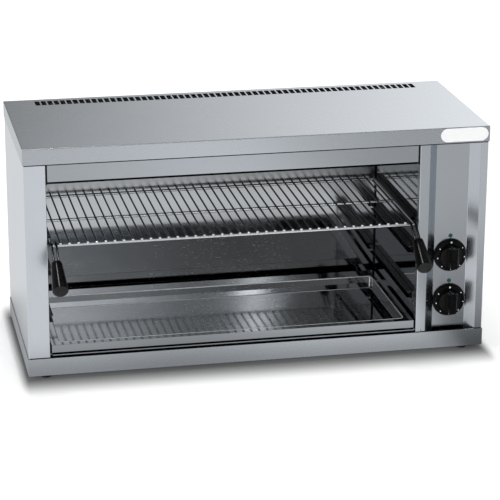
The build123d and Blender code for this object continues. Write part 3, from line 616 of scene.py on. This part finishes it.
REBUILT_LOOKS = (shaded_chrome, grip_phenolic, knob_phenolic)  # their nodes are rebuilt further down

for material, (slot, nodes) in LOOKS.items():
    for node in nodes.split():
        CAD[node].data.materials.clear()
        CAD[node].data.materials.append(material)
        if material not in REBUILT_LOOKS:
            smooth_copy(node, material)

# ---------------------------------------------------------------- wire rack

BEAD_OFFSET = Vector((0.0, -0.4 * MM, -0.3 * MM))  # from the wire's axis over the front rod
BEAD_SIZE = (2.3 * MM, 2.0 * MM, 1.7 * MM)

rod_z = rack_low.z + ROD
wire_z = rack_high.z - WIRE
rod_left = rack_low.x + ROD
rod_right = rack_high.x - ROD
rod_front = rack_low.y + ROD
rod_rear = rack_high.y - WIRE_OVERHANG
first_wire_x = (rod_left + rod_right) / 2 - WIRE_PITCH * (WIRE_COUNT - 1) / 2

rack = bmesh.new()
corners = Vector((rod_left, rod_front)), Vector((rod_right, rod_rear))
rounded_loop(rack, *corners, rod_z, ROD, RACK_CORNER)
middle_rod = (rod_left, (rod_front + rod_rear) / 2, rod_z)
bent_rod(rack, middle_rod, (1, 0, 0), ROD, [("run", rod_right - rod_left)])
piece = finished("rack_frame", rack, lit_frame_chrome, "rack", sharp=50.0)
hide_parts("wire_rack")

rack = bmesh.new()
wire_front = rod_front - WIRE
wire_run = [("run", rack_high.y - wire_front)]
bent_rod(rack, (first_wire_x, wire_front, wire_z), (0, 1, 0), WIRE_SKIN, wire_run, sides=12)
repeat_along_x(rack, WIRE_COUNT, WIRE_PITCH)
piece = finished("rack_wires", rack, shaded_chrome, "rack", sharp=50.0)
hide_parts("wire_rack")

# the weld beads carry a painted highlight
beads = bmesh.new()
bead_place = Vector((first_wire_x, rod_front, wire_z)) + BEAD_OFFSET
matrix = Matrix.Translation(bead_place) @ Matrix.Diagonal((*BEAD_SIZE, 1.0))
bmesh.ops.create_icosphere(beads, subdivisions=2, radius=1.0, matrix=matrix)
repeat_along_x(beads, WIRE_COUNT, WIRE_PITCH)
finished("rack_weld_beads", beads, highlight_chrome, "rack", sharp=60.0)

# ---------------------------------------------------------------- hem round the tray's pan

HEM = 0.9 * MM  # radius
HEM_DROP = 0.5 * MM  # from the tray's top to the axis of the hem
PAN_CORNER = 8 * MM

pan_low = tray_low + Vector((TRAY_FLANGE, TRAY_FLANGE, 0))
pan_high = tray_high - Vector((TRAY_FLANGE, TRAY_REAR_FLANGE, 0))
hem = bmesh.new()
rounded_loop(hem, pan_low, pan_high, tray_high.z - HEM_DROP, HEM, PAN_CORNER, sides=12)
finished("tray_hem", hem, lit_hem_steel, "tray", sharp=60.0)

# ---------------------------------------------------------------- handles

GRIP_PROFILE = (
    (0.0, 1.2 * MM),
    (5.6 * MM, 1.2 * MM),
    (6.2 * MM, 0.0),
    (9.0 * MM, 0.0),
    (9.6 * MM, 5.0 * MM),
    (11.0 * MM, 22.0 * MM),
    (13.5 * MM, GRIP_LENGTH),
    (10.9 * MM, 61.4 * MM),
    (7.4 * MM, 64.0 * MM),
    (3.8 * MM, 65.5 * MM),
    (0.0, 66.0 * MM),
)
GRIP_ROUNDS = ((3, 2.0 * MM), (6, 0.9 * MM))

leg_end = rod_front + ROD + HANDLE_WIRE
tangent = HANDLE_BEND * math.tan(GRIP_TILT / 2)
leg_moves = [
    ("run", leg_end - turn_y - tangent),
    ("bend", HANDLE_BEND, (0, 0, -1), GRIP_TILT),
    ("run", HANDLE_SLOPE - tangent + GRIP_SOCKET),
]
down_the_slope = Vector((0, -math.cos(GRIP_TILT), -math.sin(GRIP_TILT)))
along_the_slope = down_the_slope.to_track_quat("Z", "X").to_matrix().to_4x4()

for side in ("left", "right"):
    low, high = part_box(f"{side}_grip")
    grip_x = (low.x + high.x) / 2
    legs = bmesh.new()
    for offset in (-HANDLE_HALF_SPACING, HANDLE_HALF_SPACING):
        start = (grip_x + offset, leg_end, leg_z)
        bent_rod(legs, start, (0, -1, 0), HANDLE_WIRE, leg_moves, sides=20)
    piece = finished(f"{side}_handle_legs", legs, shaded_chrome, "rack", sharp=50.0)
    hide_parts(f"{side}_handle_wire")

    grip = bmesh.new()
    turned(grip, GRIP_PROFILE, GRIP_ROUNDS, steps=56, segments=4)
    root = Vector((grip_x, turn_y, leg_z)) + down_the_slope * HANDLE_SLOPE
    matrix = Matrix.Translation(root) @ along_the_slope
    bmesh.ops.transform(grip, matrix=matrix, verts=grip.verts)
    name = f"{side}_handle_grip"
    piece = finished(name, grip, grip_phenolic, "rack", sharp=40.0)
    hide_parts(f"{side}_grip")

# ---------------------------------------------------------------- knobs

SKIRT_RADIUS = 29.5 * MM
SKIRT_TOP_RADIUS = 26.5 * MM
SKIRT_EDGE = 2.0 * MM
SKIRT_DEPTH = 7.0 * MM
BODY_START = 5.0 * MM
BODY_RADIUS = 20.5 * MM
BODY_TOP_RADIUS = 18.5 * MM
KNOB_DEPTH = 28.0 * MM
SCOOP = 18.0 * MM
BAR_HALF_WIDTH = 6.0 * MM
BAR_ROUND = 0.9 * MM
DOT_COUNT = 8
DOT_RING = 24.4 * MM
DOT_RADIUS = 1.15 * MM
ZERO_DOT_RADIUS = 1.9 * MM  # the first dot, at the top
FIRST_DOT_ANGLE, DOT_STEP = 56.0, 41.3  # of the dots after it, clockwise


def cut_away(piece, cutter_bm):
    """The piece's mesh after a boolean cut with a throwaway cutter."""
    cutter = as_object("cutter", cutter_bm)
    boolean = piece.modifiers.new("cut", "BOOLEAN")
    boolean.operation = "DIFFERENCE"
    boolean.solver = "EXACT"
    boolean.object = cutter
    result = evaluated(piece)
    piece.modifiers.clear()
    bpy.data.objects.remove(cutter)
    return result


def knob_mesh():
    """One knob with its axis on Z and its back at height 0: a skirt and a scooped body."""
    body = bmesh.new()
    body_profile = (
        (0.0, BODY_START),
        (BODY_RADIUS, BODY_START),
        (BODY_TOP_RADIUS, KNOB_DEPTH),
        (0.0, KNOB_DEPTH),
    )
    turned(body, body_profile, steps=72)
    blank = as_object("knob_body", body)
    for side in (-1, 1):
        scoop = bmesh.new()
        centre = Vector((side * (BAR_HALF_WIDTH + SCOOP), 0.0, KNOB_DEPTH))
        bmesh.ops.create_cone(
            scoop,
            cap_ends=True,
            segments=72,
            radius1=SCOOP,
            radius2=SCOOP,
            depth=60 * MM,
            matrix=facing_front(centre),
        )
        blank.data = cut_away(blank, scoop)
    round_edges(blank, BAR_ROUND, 40)
    rounded = evaluated(blank)
    bpy.data.objects.remove(blank)
    knob = bmesh.new()
    skirt_profile = (
        (0.0, 0.0),
        (SKIRT_RADIUS, 0.0),
        (SKIRT_RADIUS, SKIRT_EDGE),
        (SKIRT_TOP_RADIUS, SKIRT_DEPTH),
        (0.0, SKIRT_DEPTH),
    )
    turned(knob, skirt_profile, rounds=((3, 1.2 * MM), (2, 0.8 * MM)), steps=72, segments=4)
    knob.from_mesh(rounded)
    return knob


for level in ("upper", "lower"):
    low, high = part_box(f"{level}_knob")
    body = f"{level}_control"
    facing = facing_front(Vector(((low.x + high.x) / 2, high.y, (low.z + high.z) / 2)))
    knob = knob_mesh()
    bmesh.ops.transform(knob, matrix=facing, verts=knob.verts)
    name = f"{level}_control_knob"
    piece = finished(name, knob, knob_phenolic, body, sharp=30.0)
    even_shading(piece)
    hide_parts(f"{level}_knob")

    dots = bmesh.new()
    for index in range(DOT_COUNT):
        angle, radius = 0.0, ZERO_DOT_RADIUS
        if index:
            angle, radius = math.radians(FIRST_DOT_ANGLE + DOT_STEP * (index - 1)), DOT_RADIUS
        place = Vector((math.sin(angle) * DOT_RING, math.cos(angle) * DOT_RING, SKIRT_DEPTH))
        bmesh.ops.create_cone(
            dots,
            cap_ends=True,
            segments=24,
            radius1=radius,
            radius2=radius * 0.8,
            depth=0.5 * MM,
            matrix=Matrix.Translation(place),
        )
    bmesh.ops.transform(dots, matrix=facing, verts=dots.verts)
    finished(f"{level}_knob_dots", dots, dot_paint, body)

# ---------------------------------------------------------------- index marks

PANEL_GAP = 0.8 * MM  # between the knobs' backs and the face of the panel
MARK_RADIUS = 3.7 * MM
MARK_POINT = 2.6 * MM  # how far the point reaches down from the round
MARK_THICKNESS = 0.3 * MM
MARK_RISE = 35.0 * MM  # over the axis of the knob

face_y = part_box("upper_knob")[1].y + PANEL_GAP
for level in ("upper", "lower"):
    low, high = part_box(f"{level}_knob")
    centre = ((low.x + high.x) / 2, face_y - MARK_THICKNESS, (low.z + high.z) / 2 + MARK_RISE)
    mark = bmesh.new()
    verts = bmesh.ops.create_circle(mark, cap_ends=True, segments=32, radius=MARK_RADIUS)["verts"]
    lowest = min(verts, key=lambda vert: vert.co.y)
    lowest.co.y -= MARK_POINT
    bmesh.ops.solidify(mark, geom=mark.faces[:], thickness=MARK_THICKNESS)
    bmesh.ops.transform(mark, matrix=facing_front(centre), verts=mark.verts)
    bmesh.ops.recalc_face_normals(mark, faces=mark.faces)
    finished(f"{level}_index_mark", mark, mark_enamel, "cabinet")

# ---------------------------------------------------------------- blank plate

PLATE_LENGTH, PLATE_HEIGHT, PLATE_THICKNESS = 84 * MM, 23.5 * MM, 0.8 * MM
PLATE_ROUND = 0.4 * MM
PLATE_INSET = 3.0 * MM  # from the cover's right-hand end
PLATE_DROP = 13.7 * MM  # from the cover's top to the plate's centre

plate = bmesh.new()
circle = bmesh.ops.create_circle(plate, cap_ends=True, segments=96, radius=PLATE_HEIGHT / 2)
for vert in circle["verts"]:
    side = vert.co.x + 0.001 * MM  # the two middle points go with the right-hand end
    vert.co.x += math.copysign((PLATE_LENGTH - PLATE_HEIGHT) / 2, side)
front = bmesh.ops.extrude_face_region(plate, geom=plate.faces[:])["geom"]
bmesh.ops.translate(plate, verts=verts_in(front), vec=(0, 0, PLATE_THICKNESS))
front_verts = [vert for vert in plate.verts if vert.co.z > PLATE_THICKNESS / 2]
bmesh.ops.bevel(
    plate,
    geom=edges_among(front_verts),
    offset=PLATE_ROUND,
    segments=3,
    profile=0.5,
    affect="EDGES",
    material=-1,
)
bmesh.ops.recalc_face_normals(plate, faces=plate.faces)
plate_x = cover_high.x - PLATE_INSET - PLATE_LENGTH / 2
matrix = facing_front(Vector((plate_x, front_y, cover_high.z - PLATE_DROP)))
bmesh.ops.transform(plate, matrix=matrix, verts=plate.verts)
piece = finished("blank_plate", plate, plate_enamel, "cabinet")
even_shading(piece)

# ---------------------------------------------------------------- dark strips of painted shade in the gaps between the sheets

# All of these are in millimetres
rim_y = front_y / MM
rim_z = cover_low.z / MM
base_z = base_high.z / MM
CASE_EDGE = 398.0
HOOD_FOOT = 344.8
BASE_JOINTS = ((-CASE_EDGE, -362.3), (278.4, 300.0), (384.2, CASE_EDGE))
HOOD_ENDS = ((-361.9, -359.1), (275.1, 277.9))
LINER_CORNER = (277.3, 170.4, 64.0), (279.1, 171.6, 373.5)

# Dark strips under the cover's rim, along the base, at the hood's ends and in the cavity's
# right-hand rear corner: the gaps are real, their darkness is painted shade
shadow_strips = bmesh.new()
strip(shadow_strips, (-CASE_EDGE, rim_y + 0.2, rim_z - 1.7), (CASE_EDGE, rim_y + 1.15, rim_z - 0.02))
for left, right in BASE_JOINTS:
    strip(shadow_strips, (left, rim_y + 0.3, base_z + 0.02), (right, rim_y + 1.15, base_z + 1.3))
for left, right in HOOD_ENDS:
    strip(shadow_strips, (left, rim_y + 4.0, HOOD_FOOT), (right, rim_y + 5.0, rim_z))
strip(shadow_strips, *LINER_CORNER)
finished("painted_shadow_strips", shadow_strips, shadow_gap, "cabinet")

lip = bmesh.new()
strip(lip, (-358.0, rim_y + 4.0, base_z + 3.2), (277.0, rim_y + 5.0, base_z + 4.8))
finished("base_inner_lip", lip, rear_sheet, "cabinet")

rivet = bmesh.new()
matrix = Matrix.Translation((287.0 * MM, (rim_y + 1.2) * MM, base_z * MM + 4.0 * MM))
matrix @= Matrix.Diagonal((1.7 * MM, 0.9 * MM, 1.7 * MM, 1.0))
bmesh.ops.create_uvsphere(rivet, u_segments=16, v_segments=8, radius=1.0, matrix=matrix)
finished("pillar_rivet", rivet, zinc, "cabinet", sharp=60.0)

# ---------------------------------------------------------------- studio floor

floor = bmesh.new()
bmesh.ops.create_grid(floor, x_segments=1, y_segments=1, size=9.0)
studio_floor = as_object("studio_floor", floor)
paper = Finish("studio_paper", roughness=0.9, specular_ior_level=0.0, emission_strength=1.0)
camera_ray = paper.add("ShaderNodeLightPath")
glossy_ray = camera_ray.outlet("Is Glossy Ray")
across, along, _ = paper.place().split()
middle = (cover_low + cover_high) / 2
half = (cover_high - cover_low) / 2
beside = across.maths("ABSOLUTE", across - middle.x) - half.x
before = across.maths("ABSOLUTE", along - middle.y) - half.y
away = (beside * 2.0).at_least(before)

# Seen directly, the paper shines of its own, except close to the case, where its glow and its tone
# fall off: a painted shadow on top of the real one
halo_x = (beside * 4.0).at_least(0.0)
halo_y = before.at_least(0.0)
halo = across.maths("SQRT", halo_x * halo_x + halo_y * halo_y)
lit = camera_ray * halo.rise(-0.006, 0.084)

# Mirrored in the sheets, it is brightest right of the middle, and darker close to the case
sweep = 0.80 + across.rise(-0.17, 0.17) * 0.36 - across.rise(0.31, 0.38) * 0.56
foot_shade = across.rise(-0.30, -0.05) * (1.0 - away.rise(0.12, 0.30)) * 0.19
corner_shade = across.rise(0.358, 0.388) * (1.0 - away.rise(0.30, 0.75)) * 0.45
mirrored = sweep * (0.52 + away.rise(0.02, 0.18) * 0.48) * (1.0 - foot_shade - corner_shade)
paper.feed(
    base_color=0.9 - camera_ray * 0.62 + lit * 0.27 - glossy_ray * 0.9,
    emission_color=lit * (0.58 + away.rise(0.4, 1.6) * 0.27) + glossy_ray * mirrored,
)
studio_floor.data.materials.append(paper.material)

# ---------------------------------------------------------------- studio walls and sky

# Brightness of the walls by direction: 0 and 1 are the front, 0.25 the left, 0.5 the back
WALLS = (
    (0.0, 0.36),
    (0.08, 0.22),
    (0.20, 0.72),
    (0.30, 0.72),
    (0.41, 0.20),
    (0.512, 0.20),
    (0.560, 1.28),
    (0.62, 1.28),
    (0.70, 0.30),
    (0.955, 0.12),
    (0.968, 0.18),
    (0.985, 0.48),
)
WALL_LEVEL, SKY_LEVEL, BAND_LEVEL = 1.25, 0.36, 1.5
WINDOW_LEVEL = 2.9
AMBIENT = 0.35  # for all rays but the camera's and the mirrored ones

world = bpy.data.worlds.new("studio")
bpy.context.scene.world = world
sky = Finish("studio", world, color=(1.0, 1.0, 1.0))
camera_ray = sky.add("ShaderNodeLightPath")
glossy_ray = camera_ray.outlet("Is Glossy Ray")
east, north, height = sky.add("ShaderNodeTexCoord").split()
turn = east.maths("ARCTAN2", east, north) / (2 * math.pi) + 0.5
walls = sky.ramp(turn, WALLS)

# A bright band over the front wall; right of the middle a dull foot and a narrow window
front = turn.rise(0.90, 0.93) + (1.0 - turn.rise(0.03, 0.06))
band = front * height.rise(0.455, 0.485) * (1.0 - height.rise(0.56, 0.66))
above_tray = height.rise(0.318, 0.342)
low_front = turn.rise(0.945, 0.955) * (1.0 - above_tray)
low_tone = 0.19 - turn.rise(0.957, 0.968) * 0.04
window = turn.rise(0.9656, 0.9665) * (1.0 - turn.rise(0.9672, 0.9681)) * above_tray
walls = walls * (1.0 - low_front) + low_front * low_tone + window * WINDOW_LEVEL
overhead = height.rise(0.45, 0.85)
studio = walls * (1.0 - overhead) * WALL_LEVEL + overhead * SKY_LEVEL + band * BAND_LEVEL
other_rays = 1.0 - camera_ray - glossy_ray
sky.feed(strength=camera_ray + glossy_ray * studio + other_rays * AMBIENT)

# ---------------------------------------------------------------- lamps


def softbox(name, place, aim, size, power, **visibility):
    """Add a rectangular lamp that shines at a point; visibility can hide it from some rays."""
    lamp = bpy.data.lights.new(name, "AREA")
    lamp.shape = "RECTANGLE"
    lamp.size, lamp.size_y = size
    lamp.energy = power
    lamp_object = bpy.data.objects.new(name, lamp)
    bpy.context.scene.collection.objects.link(lamp_object)
    lamp_object.location = place
    lamp_object.rotation_mode = "QUATERNION"
    lamp_object.rotation_quaternion = (Vector(aim) - Vector(place)).to_track_quat("-Z", "Y")
    for rays, visible in visibility.items():
        setattr(lamp_object, rays, visible)


softbox("softbox_above", (0.0, 0.12, 2.2), (0, 0.05, 0), (0.9, 0.7), 34.0, visible_glossy=False)
softbox("softbox_left", (-2.2, -1.4, 1.1), (0, 0, 0.2), (1.6, 1.6), 12.0)
softbox("softbox_front", (0.6, -3.2, 1.3), (0, 0, 0.2), (1.6, 1.2), 42.0, visible_glossy=False)
softbox(
    "strip_light", (-0.66, 0.03, 2.2), (-0.66, 0.03, 0), (0.3, 0.8), 28.0, visible_diffuse=False
)

# ---------------------------------------------------------------- camera

YAW, PITCH, ROLL = math.radians(11.669), math.radians(18.667), math.radians(0.225)
EYE = (-0.7191, front_y - 3.3943, 1.3818)
FOCAL_LENGTH, SENSOR_WIDTH = 155.08, 36.0  # in millimetres

forward = Vector(
    (math.sin(YAW) * math.cos(PITCH), math.cos(YAW) * math.cos(PITCH), -math.sin(PITCH))
)
level_right = Vector((math.cos(YAW), -math.sin(YAW), 0.0))
level_up = level_right.cross(forward)
right = level_right * math.cos(ROLL) + level_up * math.sin(ROLL)
up = level_up * math.cos(ROLL) - level_right * math.sin(ROLL)

camera_data = bpy.data.cameras.new("photo_camera")
camera_data.lens = FOCAL_LENGTH
camera_data.sensor_width = SENSOR_WIDTH
camera_data.clip_end = 60.0
camera = bpy.data.objects.new("photo_camera", camera_data)
bpy.context.scene.collection.objects.link(camera)
turned_to_view = Matrix((right, up, -forward)).transposed().to_4x4()
camera.matrix_world = Matrix.Translation(EYE) @ turned_to_view
bpy.context.scene.camera = camera
bpy.context.scene.view_settings.view_transform = "Standard"
